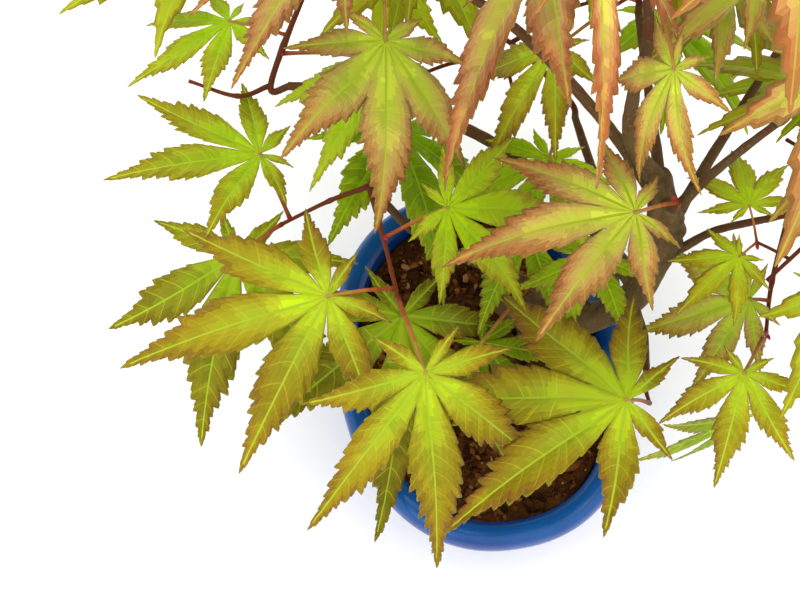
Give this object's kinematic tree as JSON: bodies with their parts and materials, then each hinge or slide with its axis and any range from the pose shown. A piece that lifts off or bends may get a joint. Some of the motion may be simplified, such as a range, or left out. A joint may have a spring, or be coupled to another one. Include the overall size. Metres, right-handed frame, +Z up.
{
  "type": "potted japanese maple",
  "caption": "Young Japanese maple with deeply cut leaves, turning from green to orange, in a small oval glazed pot of soil",
  "frame": {"origin": "centre of the pot's flat underside, where the pot stands", "axes": "+Z up; the pot's long side lies along Y and its short side along X; -Y is the side that the open face of the crown leans over"},
  "size_m": [0.3443, 0.3368, 0.2851],
  "materials": {
    "glaze": "glossy cobalt-blue glaze",
    "soil": "moist crumbly bark-based potting mix",
    "bark": "grey-brown bark, maroon on young limbs",
    "leaves": "satin leaf, green with orange-brown margins"
  },
  "bodies": {
    "root": {"bough_back": "bark", "bough_back_left": "bark", "bough_back_right": "bark", "bough_front": "bark", "bough_inner": "bark", "bough_leader": "bark", "bough_left": "bark", "bough_low_back": "bark", "bough_low_right": "bark", "bough_middle": "bark", "bough_right": "bark", "bough_upper_left": "bark", "foliage_back": "leaves", "foliage_back_left": "leaves", "foliage_back_right": "leaves", "foliage_front": "leaves", "foliage_inner": "leaves", "foliage_left": "leaves", "foliage_low_back": "leaves", "foliage_low_right": "leaves", "foliage_middle": "leaves", "foliage_right": "leaves", "foliage_top": "leaves", "foliage_upper_left": "leaves", "pot": "glaze", "soil": "soil", "trunk": "bark"}
  },
  "joints": []
}
